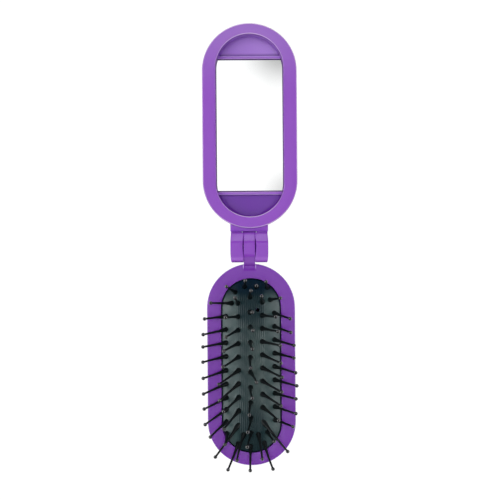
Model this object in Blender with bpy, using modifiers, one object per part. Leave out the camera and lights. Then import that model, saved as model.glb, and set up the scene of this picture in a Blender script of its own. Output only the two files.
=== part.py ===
"""Folding pocket brush with mirror: two oval shells on one hinge, and a pad of pins that rises as it opens.

Metres, +Z up. The open brush lies on its back: X runs across it and Y along it, with the mirror
half towards +Y. The origin is on the table, under the middle of the open brush.
"""

import math

import bmesh
import bpy
from mathutils import Matrix, Vector

# Shells seen from above
MIRROR_SHELL_WIDTH = 0.0386
MIRROR_SHELL_LENGTH = 0.0834
MIRROR_SIDE_LIP = 0.0055
MIRROR_END_LIP = 0.0047
BRUSH_SHELL_WIDTH = 0.0358
BRUSH_SHELL_LENGTH = 0.0820
BRUSH_SIDE_LIP = 0.0057
BRUSH_NEAR_LIP = 0.0059
BRUSH_FAR_LIP = 0.0051

# Shells seen from the side
RIM_HEIGHT = 0.0166
FRAME_SKIRT = 0.0034
SHELL_WALL = 0.0016
FRAME_WALL = 0.0013
BACK_RADIUS = 0.0048
RIM_EDGE_RADIUS = 0.0005
SEAT_GAP = 0.0003

# Mirror, its tape, and the recess that holds them
MIRROR_DEPTH = 0.0114
MIRROR_THICKNESS = 0.0016
MIRROR_LENGTH = 0.0545
MIRROR_PAST_MIDDLE = 0.0006
MIRROR_CORNER_GAP = 0.0003
TAPE_THICKNESS = 0.0005
TAPE_MARGIN = 0.0025
RECESS_DRAFT = 0.00045
RIB_WIDTH = 0.0013
RIB_ABOVE_MIRROR = 0.0005
RIB_END_OVERLAP = 0.0002

# Hinge
KNUCKLE_RADIUS = 0.00615
KNUCKLE_EDGE = 0.0004
ARM_INSET = 0.0002
PIVOT_ABOVE_RIM = 0.0002
EAR_WIDTH = 0.0048
TONGUE_WIDTH = 0.0043
KNUCKLE_GAP = 0.0006
NECK_LENGTH = 0.0017
NECK_SUNK = 0.0022
NECK_DEPTH = 0.0056
NECK_INSIDE = 0.0034
TONGUE_PROUD = 0.0003
TONGUE_ON_RIM = 0.0025
RAMP_ON_RIM = 0.0008
RAMP_INSET = 0.00005
HINGE_END_GAP = 0.00055
PIN_RADIUS = 0.0012
PIN_RUNNING_GAP = 0.00009

# Pad and its clamp
PAD_THICKNESS = 0.0010
PAD_RISE = 0.0056
OPENING_DEPTH = 0.0024
HEM_UNDER_FRAME = 0.0019
BORDER_WIDTH = 0.0012
CLAMP_THICKNESS = 0.0014
CLAMP_OPENING_MARGIN = 0.0008
SLICE_GAP = 0.0003
PAD_ROUNDNESS_SHARE = 1.6

# Pins
PIN_LENGTH = 0.0165
PIN_SHAFT_RADIUS = 0.00043
PIN_BALL_RADIUS = 0.00070
PIN_COLLAR_RADIUS = 0.0010
PIN_COLLAR_HEIGHT = 0.0005
PIN_CONE_HEIGHT = 0.0015
PIN_ROOT = 0.0006
FIRST_ROW = 0.01005
LAST_ROW = 0.01235
FAN_START = 0.0132
ROW_COUNT = 10
CENTRE_START = 0.0013
CENTRE_END = 0.0022
COLUMN_SHARE = 0.404
INNER_LEAN_SHARE = 0.442
OUTER_LEAN_SHARE = 0.624
FAN_SHARE = 0.55
TAIL_SHARE = 0.80
END_PIN_PLACE_SHARE = 0.235
END_PIN_LEAN_SHARE = 0.594

# Moving mechanism under the pad
SHOE_TRAVEL = 0.0045
SHOE_WIDTH = 0.0080
SHOE_HEIGHT = 0.0026
SHOE_LENGTH = 0.0040
NOSE_WIDTH = 0.0026
NOSE_HEIGHT = 0.0016
NOSE_REACH = 0.0030
HEEL_HEIGHT = 0.0036
HEEL_WIDTH = 0.0036
LEAF_WIDTH = 0.0044
LEAF_THICKNESS = 0.0007
LEAF_END_RUN = 0.0110
ANCHOR_LENGTH = 0.0022

# Angles and smoothness
INNER_SLOPE = math.radians(26)
ARC_STEPS = 14
ROUND_STEPS = 32
PIN_SIDES = 7
OVERRUN = 0.0010
MERGE_DISTANCE = 0.00001

# Places that follow from the sizes above
mirror_reach = KNUCKLE_RADIUS + NECK_LENGTH + MIRROR_SHELL_LENGTH
brush_reach = KNUCKLE_RADIUS + HINGE_END_GAP + BRUSH_SHELL_LENGTH
end_pin_reach = (PIN_LENGTH - PIN_BALL_RADIUS) * END_PIN_LEAN_SHARE + PIN_BALL_RADIUS
pins_reach = brush_reach - BRUSH_FAR_LIP - LAST_ROW * END_PIN_PLACE_SHARE + end_pin_reach
hinge_y = (max(brush_reach, pins_reach) - mirror_reach) / 2
hinge_z = RIM_HEIGHT + PIVOT_ABOVE_RIM
mirror_near = hinge_y + KNUCKLE_RADIUS + NECK_LENGTH
mirror_far = hinge_y + mirror_reach
brush_near = hinge_y - KNUCKLE_RADIUS - HINGE_END_GAP
brush_far = hinge_y - brush_reach
recess_half = MIRROR_SHELL_WIDTH / 2 - MIRROR_SIDE_LIP
opening_half = BRUSH_SHELL_WIDTH / 2 - BRUSH_SIDE_LIP
opening_near = brush_near - BRUSH_NEAR_LIP
opening_far = brush_far + BRUSH_FAR_LIP
column_pitch = opening_half * COLUMN_SHARE
row_pitch = (opening_near - opening_far - FIRST_ROW - LAST_ROW) / (ROW_COUNT - 1)
inner_lean = PIN_LENGTH * INNER_LEAN_SHARE
outer_lean = PIN_LENGTH * OUTER_LEAN_SHARE
seam_z = RIM_HEIGHT - FRAME_SKIRT
ear_inner = TONGUE_WIDTH / 2 + KNUCKLE_GAP
ear_outer = ear_inner + EAR_WIDTH
hem_z = RIM_HEIGHT - OPENING_DEPTH - SEAT_GAP
crown_z = hem_z + PAD_RISE
glass_top_z = RIM_HEIGHT - MIRROR_DEPTH
glass_bottom_z = glass_top_z - MIRROR_THICKNESS
floor_z = glass_bottom_z - TAPE_THICKNESS

PURPLE = (0.300, 0.105, 0.560, 1)
DARK_PURPLE = (0.205, 0.062, 0.400, 1)
RUBBER_GREY = (0.050, 0.075, 0.078, 1)
PIN_BLACK = (0.012, 0.016, 0.018, 1)
SILVER = (0.90, 0.90, 0.92, 1)
STEEL = (0.55, 0.56, 0.58, 1)
FOAM_WHITE = (0.80, 0.80, 0.78, 1)


def clear_scene():
    for old in list(bpy.data.objects):
        bpy.data.objects.remove(old, do_unlink=True)


def make_collection(name):
    group = bpy.data.collections.new(name)
    bpy.context.scene.collection.children.link(group)
    return group


def make_material(name, colour, roughness, metallic=0.0):
    material = bpy.data.materials.new(name)
    material.use_nodes = True
    shader = material.node_tree.nodes["Principled BSDF"]
    shader.inputs["Base Color"].default_value = colour
    shader.inputs["Roughness"].default_value = roughness
    shader.inputs["Metallic"].default_value = metallic
    return material


def add_object(name, mesh, group, material=None):
    """Wrap a mesh in an object of the given collection."""
    piece = bpy.data.objects.new(name, mesh)
    group.objects.link(piece)
    if material is not None:
        mesh.materials.clear()
        mesh.materials.append(material)
    return piece


def mesh_from(bm, name):
    mesh = bpy.data.meshes.new(name)
    bm.to_mesh(mesh)
    bm.free()
    return mesh


def baked_mesh(piece):
    """The piece's mesh with all its modifiers applied."""
    bpy.context.view_layer.update()
    evaluated = piece.evaluated_get(bpy.context.evaluated_depsgraph_get())
    return bpy.data.meshes.new_from_object(evaluated)


def as_guide(piece):
    """Mark an object as a cutter: drawn as wire and never rendered."""
    piece.hide_render = True
    piece.display_type = "WIRE"
    return piece


def box_mesh(name, low, high):
    """A box between two opposite corners."""
    low = Vector(low)
    high = Vector(high)
    bm = bmesh.new()
    bmesh.ops.create_cube(bm, size=1)
    for vert in bm.verts:
        share = vert.co + Vector((0.5, 0.5, 0.5))
        vert.co = Vector(low[i] + (high[i] - low[i]) * share[i] for i in range(3))
    return mesh_from(bm, name)


def box_guide(name, low, high):
    return as_guide(add_object(name, box_mesh(name, low, high), cutters))


def cylinder_guide(name, radius, x_low, x_high, edge=0.0):
    """A cylinder round the hinge axis, between two places along X, with its end edges rounded."""
    bm = bmesh.new()
    bmesh.ops.create_cone(
        bm, cap_ends=True, segments=ROUND_STEPS, radius1=radius, radius2=radius, depth=x_high - x_low)
    turn = Matrix.Rotation(math.radians(90), 4, "Y")
    place = Matrix.Translation(((x_low + x_high) / 2, hinge_y, hinge_z))
    bmesh.ops.transform(bm, matrix=place @ turn, verts=bm.verts)
    if edge:
        ends = [e for e in bm.edges if abs(e.verts[0].co.x - e.verts[1].co.x) < edge]
        bmesh.ops.bevel(bm, geom=ends, offset=edge, segments=2, profile=0.5, affect="EDGES")
    return as_guide(add_object(name, mesh_from(bm, name), cutters))


def add_boolean(piece, guide, operation):
    change = piece.modifiers.new(guide.name, "BOOLEAN")
    change.operation = operation
    change.solver = "EXACT"
    change.object = guide


def add_solidify(piece, thickness):
    wall = piece.modifiers.new("wall", "SOLIDIFY")
    wall.thickness = thickness
    wall.offset = -1
    wall.use_even_offset = True


def add_bevel(piece, width, segments=2):
    edge = piece.modifiers.new("edges", "BEVEL")
    edge.width = width
    edge.segments = segments
    edge.limit_method = "ANGLE"
    edge.angle_limit = math.radians(50)


def shade(piece):
    piece.data.shade_smooth()
    piece.data.set_sharp_from_angle(angle=math.radians(35))


def oval_ring(half_width, low_y, high_y, height):
    """Points of an oval with straight sides and round ends, anticlockwise from above."""
    points = []
    for end_y, start in ((high_y - half_width, 0.0), (low_y + half_width, math.pi)):
        for step in range(ARC_STEPS + 1):
            angle = start + math.pi * step / ARC_STEPS
            points.append((half_width * math.cos(angle), end_y + half_width * math.sin(angle), height))
    return points


def oval_surface(bm, rings, cap_first=False, cap_last=False):
    """Join ovals in order into one open surface that faces out when the ovals run upwards."""
    rows = [[bm.verts.new(point) for point in ring] for ring in rings]
    count = len(rows[0])
    for row, after in zip(rows, rows[1:]):
        for i in range(count):
            j = (i + 1) % count
            bm.faces.new((row[i], row[j], after[j], after[i]))
    if cap_first:
        bm.faces.new(list(reversed(rows[0])))
    if cap_last:
        bm.faces.new(rows[-1])


def oval_piece(name, rings, group, material=None, cap_first=False, cap_last=False):
    bm = bmesh.new()
    oval_surface(bm, rings, cap_first, cap_last)
    return add_object(name, mesh_from(bm, name), group, material)


def back_shell_rings(width, low_y, high_y, top_z):
    """Ovals of a shell's back: a flat underside, a rounded edge and an upright wall."""
    rings = []
    steps = 5
    for step in range(steps + 1):
        angle = math.radians(90) * step / steps
        inset = BACK_RADIUS * (1 - math.sin(angle))
        height = BACK_RADIUS * (1 - math.cos(angle))
        rings.append(oval_ring(width / 2 - inset, low_y + inset, high_y - inset, height))
    rings.append(oval_ring(width / 2, low_y, high_y, top_z))
    return rings


def make_mirror_back_shell():
    """Outer shell of the mirror half, with the heel that pushes the shoe when the brush is open."""
    rings = back_shell_rings(MIRROR_SHELL_WIDTH, mirror_near, mirror_far, seam_z - SEAT_GAP)
    shell = oval_piece("mirror_back_shell", rings, parts, purple_shell, cap_first=True)
    add_solidify(shell, SHELL_WALL)
    heel_low = (-HEEL_WIDTH / 2, hinge_y - NOSE_REACH + SEAT_GAP, SHELL_WALL)
    heel_high = (HEEL_WIDTH / 2, mirror_near + SHELL_WALL, SHELL_WALL + HEEL_HEIGHT)
    add_boolean(shell, box_guide("heel", heel_low, heel_high), "UNION")
    add_boolean(shell, neck_notch("mirror_neck_notch", ear_outer, mirror_near, 1), "DIFFERENCE")
    shade(shell)


def neck_notch(name, half_width, shell_y, direction):
    """Room in a back shell's end for the neck of the frame above it."""
    low_z = RIM_HEIGHT - NECK_DEPTH - SEAT_GAP
    ends = sorted((shell_y - direction * OVERRUN, shell_y + direction * (NECK_INSIDE + SEAT_GAP)))
    low = (-half_width - SEAT_GAP, ends[0], low_z)
    high = (half_width + SEAT_GAP, ends[1], RIM_HEIGHT)
    return box_guide(name, low, high)


def make_mirror_tray():
    """Front of the mirror half: a flat rim, a deep recess, two ribs and the hinge's two ears."""
    half = MIRROR_SHELL_WIDTH / 2
    low = mirror_near + MIRROR_END_LIP
    high = mirror_far - MIRROR_END_LIP
    rings = [
        oval_ring(half, mirror_near, mirror_far, seam_z),
        oval_ring(half, mirror_near, mirror_far, RIM_HEIGHT),
        oval_ring(recess_half, low, high, RIM_HEIGHT),
        oval_ring(recess_half - RECESS_DRAFT, low + RECESS_DRAFT, high - RECESS_DRAFT, floor_z),
    ]
    tray = oval_piece("mirror_tray", rings, parts, purple_shell, cap_last=True)
    add_solidify(tray, FRAME_WALL)
    add_bevel(tray, RIM_EDGE_RADIUS)
    for name, rib_y in (("near_rib", glass_near - RIB_WIDTH), ("far_rib", glass_far)):
        rib_half = rib_half_width(rib_y + RIB_WIDTH / 2)
        rib_low = (-rib_half, rib_y, floor_z - FRAME_WALL / 2)
        rib_high = (rib_half, rib_y + RIB_WIDTH, glass_top_z + RIB_ABOVE_MIRROR)
        add_boolean(tray, box_guide(name, rib_low, rib_high), "UNION")
    for side, name in ((-1, "left_ear"), (1, "right_ear")):
        x_low, x_high = sorted((side * ear_inner, side * ear_outer))
        add_boolean(tray, cylinder_guide(name, KNUCKLE_RADIUS, x_low, x_high, KNUCKLE_EDGE), "UNION")
        arm_low = (x_low + ARM_INSET, hinge_y, RIM_HEIGHT - NECK_DEPTH)
        arm_high = (x_high - ARM_INSET, mirror_near, RIM_HEIGHT - NECK_SUNK - ARM_INSET)
        add_boolean(tray, box_guide(name + "_arm", arm_low, arm_high), "UNION")
    neck_low = (-ear_outer, hinge_y + KNUCKLE_RADIUS + SEAT_GAP, RIM_HEIGHT - NECK_DEPTH)
    neck_high = (ear_outer, mirror_near + NECK_INSIDE, RIM_HEIGHT - NECK_SUNK)
    add_boolean(tray, box_guide("mirror_neck", neck_low, neck_high), "UNION")
    bore = PIN_RADIUS + PIN_RUNNING_GAP
    reach = ear_outer + OVERRUN
    add_boolean(tray, cylinder_guide("ear_bore", bore, -reach, reach), "DIFFERENCE")
    shade(tray)


def rib_half_width(rib_y):
    """Half the recess's width at a rib, and a little more so that the rib joins its walls."""
    far_centre = mirror_far - MIRROR_END_LIP - recess_half
    near_centre = mirror_near + MIRROR_END_LIP + recess_half
    beyond = max(rib_y - far_centre, near_centre - rib_y, 0.0)
    return math.sqrt(recess_half ** 2 - beyond ** 2) + RIB_END_OVERLAP


def clipped_oval(half_width, low_y, high_y, low_cut, high_cut):
    """An oval with straight sides and round ends, cut straight across at two places."""
    points = []
    for point in oval_ring(half_width, low_y, high_y, 0.0):
        y = min(max(point[1], low_cut), high_cut)
        centre = min(max(y, low_y + half_width), high_y - half_width)
        x = math.copysign(math.sqrt(max(half_width ** 2 - (y - centre) ** 2, 0.0)), point[0])
        if not points or (Vector((x, y)) - Vector(points[-1])).length > MERGE_DISTANCE:
            points.append((x, y))
    return points


def flat_plate(name, points, low_z, high_z, material):
    """A flat plate from an outline: a filled 2D curve with half its thickness as its extrude."""
    curve = bpy.data.curves.new(name, "CURVE")
    curve.dimensions = "2D"
    curve.fill_mode = "BOTH"
    curve.extrude = (high_z - low_z) / 2
    add_outline(curve, points)
    drawn = bpy.data.objects.new(name + "_outline", curve)
    parts.objects.link(drawn)
    drawn.location.z = (low_z + high_z) / 2
    return plate_from(drawn, name, material)


def add_outline(curve, points):
    spline = curve.splines.new("POLY")
    spline.points.add(len(points) - 1)
    for target, (x, y) in zip(spline.points, points):
        target.co = (x, y, 0, 1)
    spline.use_cyclic_u = True


def plate_from(drawn, name, material):
    """Turn a curve object into a mesh piece of the same place."""
    mesh = baked_mesh(drawn)
    bm = bmesh.new()
    bm.from_mesh(mesh)
    bmesh.ops.remove_doubles(bm, verts=bm.verts, dist=MERGE_DISTANCE)
    bm.to_mesh(mesh)
    bm.free()
    piece = add_object(name, mesh, parts, material)
    piece.matrix_world = drawn.matrix_world
    bpy.data.objects.remove(drawn, do_unlink=True)
    return piece


def make_mirror_glass():
    """Mirror plate between the ribs, and the foam tape that holds it to the recess floor."""
    half = recess_half - RECESS_DRAFT - MIRROR_CORNER_GAP
    inset = MIRROR_END_LIP + RECESS_DRAFT + MIRROR_CORNER_GAP
    low = mirror_near + inset
    high = mirror_far - inset
    cuts = (glass_near + SEAT_GAP, glass_far - SEAT_GAP)
    outline = clipped_oval(half, low, high, *cuts)
    flat_plate("mirror_glass", outline, glass_bottom_z, glass_top_z, mirror_silver)
    tape_cuts = (cuts[0] + TAPE_MARGIN, cuts[1] - TAPE_MARGIN)
    tape = clipped_oval(half - TAPE_MARGIN, low + TAPE_MARGIN, high - TAPE_MARGIN, *tape_cuts)
    flat_plate("mirror_tape", tape, floor_z, glass_bottom_z, tape_foam)


def make_brush_back_shell():
    """Outer shell of the brush half, with the leaf's anchor and the window for the shoe's nose."""
    rings = back_shell_rings(BRUSH_SHELL_WIDTH, brush_far, brush_near, seam_z - SEAT_GAP)
    shell = oval_piece("brush_back_shell", rings, parts, purple_shell, cap_first=True)
    add_solidify(shell, SHELL_WALL)
    anchor_low = (-LEAF_WIDTH / 2, leaf_far - SEAT_GAP - ANCHOR_LENGTH, SHELL_WALL / 2)
    anchor_high = (LEAF_WIDTH / 2, leaf_far - SEAT_GAP, leaf_end_z + LEAF_THICKNESS)
    add_boolean(shell, box_guide("leaf_anchor", anchor_low, anchor_high), "UNION")
    window_low = (-NOSE_WIDTH / 2 - SEAT_GAP, brush_near - BACK_RADIUS, nose_z - SEAT_GAP)
    window_high = (NOSE_WIDTH / 2 + SEAT_GAP, brush_near + OVERRUN, nose_z + NOSE_HEIGHT + SEAT_GAP)
    add_boolean(shell, box_guide("nose_window", window_low, window_high), "DIFFERENCE")
    add_boolean(shell, neck_notch("brush_neck_notch", TONGUE_WIDTH / 2, brush_near, -1), "DIFFERENCE")
    shade(shell)


def make_brush_front_frame():
    """Front of the brush half: a flat rim round the pad, and the hinge's middle tongue."""
    half = BRUSH_SHELL_WIDTH / 2
    rings = [
        oval_ring(half, brush_far, brush_near, seam_z),
        oval_ring(half, brush_far, brush_near, RIM_HEIGHT),
        oval_ring(opening_half, opening_far, opening_near, RIM_HEIGHT),
        oval_ring(opening_half, opening_far, opening_near, RIM_HEIGHT - OPENING_DEPTH),
    ]
    frame = oval_piece("brush_front_frame", rings, parts, purple_shell)
    add_solidify(frame, FRAME_WALL)
    add_bevel(frame, RIM_EDGE_RADIUS)
    half_tongue = TONGUE_WIDTH / 2
    knuckle = cylinder_guide("tongue_knuckle", KNUCKLE_RADIUS, -half_tongue, half_tongue, KNUCKLE_EDGE)
    add_boolean(frame, knuckle, "UNION")
    arm = half_tongue - ARM_INSET
    arm_low = (-arm, brush_near - NECK_INSIDE, RIM_HEIGHT - NECK_DEPTH)
    arm_high = (arm, hinge_y, RIM_HEIGHT - NECK_SUNK)
    add_boolean(frame, box_guide("tongue_arm", arm_low, arm_high), "UNION")
    top = arm - ARM_INSET
    top_low = (-top, brush_near - TONGUE_ON_RIM, RIM_HEIGHT - NECK_SUNK - OVERRUN)
    top_high = (top, hinge_y - PIN_RADIUS, RIM_HEIGHT + TONGUE_PROUD)
    add_boolean(frame, box_guide("tongue_top", top_low, top_high), "UNION")
    add_boolean(frame, tongue_ramp(top - ARM_INSET), "UNION")
    bore = PIN_RADIUS + PIN_RUNNING_GAP
    reach = half_tongue + OVERRUN
    add_boolean(frame, cylinder_guide("tongue_bore", bore, -reach, reach), "DIFFERENCE")
    shade(frame)


def tongue_ramp(half_width):
    """Wedge whose slope leaves the tongue's knuckle smoothly and runs down onto the brush rim."""
    foot_y = brush_near - RAMP_ON_RIM
    foot_z = RIM_HEIGHT + TONGUE_PROUD - RAMP_INSET
    radius = KNUCKLE_RADIUS - RAMP_INSET
    reach = math.hypot(foot_y - hinge_y, foot_z - hinge_z)
    angle = math.atan2(foot_z - hinge_z, foot_y - hinge_y) - math.acos(radius / reach)
    crest_y = hinge_y + radius * math.cos(angle)
    crest_z = hinge_z + radius * math.sin(angle)
    low = (-half_width, foot_y, RIM_HEIGHT - NECK_SUNK)
    guide = box_guide("tongue_ramp", low, (half_width, crest_y, crest_z))
    for vert in guide.data.vertices:
        if vert.co.y < (foot_y + crest_y) / 2 and vert.co.z > RIM_HEIGHT:
            vert.co.z = foot_z
    return guide


def make_hinge_pin():
    """Steel pin through the tongue and both ears."""
    guide = cylinder_guide("hinge_pin_shape", PIN_RADIUS, -ear_outer, ear_outer)
    pin = add_object("hinge_pin", guide.data.copy(), parts, steel)
    bpy.data.objects.remove(guide, do_unlink=True)
    shade(pin)
    move_origin(pin, (0, hinge_y, hinge_z))


def move_origin(piece, point):
    """Put an object's origin at a point of the world without moving its mesh."""
    piece.data.transform(Matrix.Translation(-Vector(point)))
    piece.location = point


def pad_height(x, y):
    """Top of the raised pad: a long dome that falls to its oval edge."""
    centre = min(max(y, opening_far + opening_half), opening_near - opening_half)
    share = min(math.hypot(x, y - centre) / opening_half, 1.0)
    return crown_z - PAD_RISE * share ** PAD_ROUNDNESS_SHARE


def dome_ring(inset):
    """Oval of the raised pad's top at a given distance in from its edge."""
    half = opening_half - inset
    height = pad_height(half, opening_far + opening_half)
    return oval_ring(half, opening_far + inset, opening_near - inset, height)


def make_pad_border():
    """Rubber round the moving slices, with the hem that the clamp ring holds under the frame."""
    outer = opening_half + HEM_UNDER_FRAME
    rings = [
        oval_ring(outer, opening_far - HEM_UNDER_FRAME, opening_near + HEM_UNDER_FRAME, hem_z),
        oval_ring(opening_half, opening_far, opening_near, hem_z),
        dome_ring(BORDER_WIDTH / 2),
        dome_ring(BORDER_WIDTH - SLICE_GAP / 2),
    ]
    border = oval_piece("pad_border", rings, parts, rubber)
    add_solidify(border, PAD_THICKNESS)
    shade(border)


def make_clamp_ring():
    """Ring that presses the pad's hem up against the frame."""
    top = hem_z - PAD_THICKNESS - SEAT_GAP
    inner = opening_half + CLAMP_OPENING_MARGIN
    outer_inset = SHELL_WALL + SEAT_GAP
    curve = bpy.data.curves.new("pad_clamp_ring", "CURVE")
    curve.dimensions = "2D"
    curve.fill_mode = "BOTH"
    curve.extrude = CLAMP_THICKNESS / 2
    half = BRUSH_SHELL_WIDTH / 2 - outer_inset
    outside = oval_ring(half, brush_far + outer_inset, brush_near - outer_inset, 0)
    inside = oval_ring(
        inner, opening_far - CLAMP_OPENING_MARGIN, opening_near + CLAMP_OPENING_MARGIN, 0)
    add_outline(curve, [point[:2] for point in outside])
    add_outline(curve, [point[:2] for point in inside])
    drawn = bpy.data.objects.new("clamp_outline", curve)
    parts.objects.link(drawn)
    drawn.location.z = top - CLAMP_THICKNESS / 2
    ring = plate_from(drawn, "pad_clamp_ring", purple_dark)
    notch = neck_notch("clamp_neck_notch", TONGUE_WIDTH / 2, brush_near, -1)
    add_boolean(ring, notch, "DIFFERENCE")


def make_pin_mesh():
    """One pin standing on the origin: root, collar, tapering foot, thin shaft and ball tip."""
    ball_z = PIN_LENGTH - PIN_BALL_RADIUS
    profile = [(0.0, PIN_LENGTH)]
    for degrees in (55, 15, -25):
        angle = math.radians(degrees)
        profile.append((PIN_BALL_RADIUS * math.cos(angle), ball_z + PIN_BALL_RADIUS * math.sin(angle)))
    profile.append((PIN_SHAFT_RADIUS, ball_z - PIN_BALL_RADIUS))
    profile.append((PIN_SHAFT_RADIUS, PIN_CONE_HEIGHT))
    profile.append((PIN_COLLAR_RADIUS, PIN_COLLAR_HEIGHT))
    profile.append((PIN_COLLAR_RADIUS, -PIN_ROOT))
    profile.append((0.0, -PIN_ROOT))
    bm = bmesh.new()
    verts = [bm.verts.new((x, 0, z)) for x, z in profile]
    for pair in zip(verts, verts[1:]):
        bm.edges.new(pair)
    half = add_object("pin_profile", mesh_from(bm, "pin_profile"), cutters)
    turn = half.modifiers.new("turn", "SCREW")
    turn.axis = "Z"
    turn.steps = PIN_SIDES
    turn.render_steps = PIN_SIDES
    turn.use_merge_vertices = True
    turn.merge_threshold = MERGE_DISTANCE
    mesh = baked_mesh(half)
    bpy.data.objects.remove(half, do_unlink=True)
    return mesh


def pin_place(x, y, lean_x, lean_y):
    """Stand a pin on the pad at (x, y) so that its tip lies lean_x and lean_y aside."""
    upright = math.sqrt(PIN_LENGTH ** 2 - lean_x ** 2 - lean_y ** 2)
    turn = Vector((0, 0, 1)).rotation_difference(Vector((lean_x, lean_y, upright)))
    return Matrix.Translation((x, y, pad_height(x, y))) @ turn.to_matrix().to_4x4()


def fan_lean(y):
    """How far a pin leans away from the hinge: more, the further it stands down the pad."""
    down_pad_share = (opening_near - FAN_START - y) / (opening_near - opening_far)
    return -PIN_LENGTH * FAN_SHARE * down_pad_share


def pin_row_places():
    first = opening_near - FIRST_ROW
    return [first - row_pitch * row for row in range(ROW_COUNT)]


def make_slice(name, pins, low, high, origin, room=None):
    """The raised pad between two corners of a box, less any room cut in it, with its pins on it."""
    piece = add_object(name, dome_mesh.copy(), parts, pin_black)
    add_boolean(piece, box_guide(name + "_box", low, high), "INTERSECT")
    if room is not None:
        add_boolean(piece, room, "DIFFERENCE")
    bm = bmesh.new()
    for pin in pins:
        single = pin_mesh.copy()
        single.transform(pin_place(*pin))
        bm.from_mesh(single)
        bpy.data.meshes.remove(single)
    standing = as_guide(add_object(name + "_pins", mesh_from(bm, name + "_pins"), cutters))
    add_boolean(piece, standing, "UNION")
    mesh = baked_mesh(piece)
    piece.modifiers.clear()
    piece.data = mesh
    shade(piece)
    move_origin(piece, origin)


def make_dome_mesh():
    """The whole raised pad inside its border, from which the slices are cut."""
    ring_shares = (0, 0.25, 0.5, 0.75, 0.93)
    start = BORDER_WIDTH + SLICE_GAP / 2
    rings = [dome_ring(start + (opening_half - start) * share) for share in ring_shares]
    dome = oval_piece("dome_shape", rings, cutters, cap_last=True)
    add_solidify(dome, PAD_THICKNESS)
    mesh = baked_mesh(dome)
    bpy.data.objects.remove(dome, do_unlink=True)
    return mesh


def make_pad_slices():
    """The rubber pad as slices that flatten when it sinks: middle, two each side and both ends."""
    half_gap = SLICE_GAP / 2
    inner_line = column_pitch / 2
    outer_line = inner_line + column_pitch
    rows = pin_row_places()
    near_line = rows[0] + row_pitch / 2
    far_line = rows[-1] - row_pitch / 2
    tail = far_line - row_pitch * TAIL_SHARE
    low_z = hem_z - PAD_THICKNESS - OVERRUN
    high_z = crown_z + OVERRUN
    wide = opening_half

    centre_first = near_line - CENTRE_START
    centre_pitch = (centre_first - tail - CENTRE_END) / (ROW_COUNT - 1)
    centre_rows = [centre_first - centre_pitch * row for row in range(ROW_COUNT)]
    centre_pins = [(0.0, y, 0.0, fan_lean(y)) for y in centre_rows]
    middle_low = (-inner_line + half_gap, tail + half_gap, low_z)
    middle_high = (inner_line - half_gap, near_line - half_gap, high_z)
    make_slice("centre_pin_strip", centre_pins, middle_low, middle_high, (0, hinge_y, crown_z))

    for side, word in ((-1, "left"), (1, "right")):
        inner_pins = [(side * column_pitch, y, side * inner_lean, fan_lean(y)) for y in rows]
        x_low, x_high = sorted((side * (inner_line + half_gap), side * (outer_line - half_gap)))
        low = (x_low, far_line + half_gap, low_z)
        high = (x_high, near_line - half_gap, high_z)
        make_slice(f"inner_{word}_pin_strip", inner_pins, low, high, (side * inner_line, hinge_y, crown_z))

        outer_pins = [(side * 2 * column_pitch, y, side * outer_lean, fan_lean(y)) for y in rows[1:]]
        corner_x = outer_line + PIN_COLLAR_RADIUS + half_gap
        outer_pins.append((side * corner_x, rows[0], side * outer_lean, fan_lean(rows[0])))
        x_low, x_high = sorted((side * (outer_line + half_gap), side * wide))
        low = (x_low, far_line + half_gap, low_z)
        high = (x_high, near_line - half_gap, high_z)
        outer_origin = (side * outer_line, hinge_y, outer_hinge_z)
        make_slice(f"outer_{word}_pin_strip", outer_pins, low, high, outer_origin)

    far_low = (-wide, opening_far, low_z)
    far_high = (wide, far_line - half_gap, high_z)
    room_low = (-inner_line - half_gap, tail - half_gap, low_z - OVERRUN)
    room_high = (inner_line + half_gap, near_line, high_z + OVERRUN)
    tail_room = box_guide("tail_room", room_low, room_high)
    make_slice("far_pin_fan", far_pins(), far_low, far_high, (0, far_line, crown_z), tail_room)
    near_low = (-wide, near_line + half_gap, low_z)
    near_high = (wide, opening_near, high_z)
    make_slice("near_pin_fan", near_pins(), near_low, near_high, (0, near_line, crown_z))


def far_pins():
    """Pins round the pad's far end.

    Each is given by its place, as shares of the pad's half width and of the last row's distance
    from the end, and by its two leans, as shares of a pin's length.
    """
    far_shares = (
        (0.0, END_PIN_PLACE_SHARE, 0.0, -END_PIN_LEAN_SHARE),
        (0.405, 0.395, 0.155, -0.576),
        (0.315, 0.640, 0.145, -0.564),
        (0.700, 0.640, 0.050, -0.330),
    )
    pins = []
    for across, along, lean_x, lean_y in far_shares:
        y = opening_far + LAST_ROW * along
        for side in ((-1, 1) if across else (1,)):
            pins.append((side * opening_half * across, y, side * PIN_LENGTH * lean_x, PIN_LENGTH * lean_y))
    return pins


def near_pins():
    """Pins round the pad's hinge end, given in the same way from the first row's distance."""
    near_shares = ((0.197, 0.328, 0.024, 0.121), (0.518, 0.527, 0.182, 0.133))
    pins = []
    for across, along, lean_x, lean_y in near_shares:
        y = opening_near - FIRST_ROW * along
        for side in (-1, 1):
            pins.append((side * opening_half * across, y, side * PIN_LENGTH * lean_x, PIN_LENGTH * lean_y))
    return pins


def leaf_height(y):
    """Top of the bowed leaf: level under the middle of the pad, with a smooth fall to each end."""
    top = pad_height(LEAF_WIDTH / 2, (opening_near + opening_far) / 2) - PAD_THICKNESS - SEAT_GAP
    from_end = min(y - leaf_far, leaf_near - y)
    share = min(max(from_end / LEAF_END_RUN, 0.0), 1.0)
    smooth = share * share * (3 - 2 * share)
    return leaf_end_z + LEAF_THICKNESS + (top - leaf_end_z - LEAF_THICKNESS) * smooth


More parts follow.
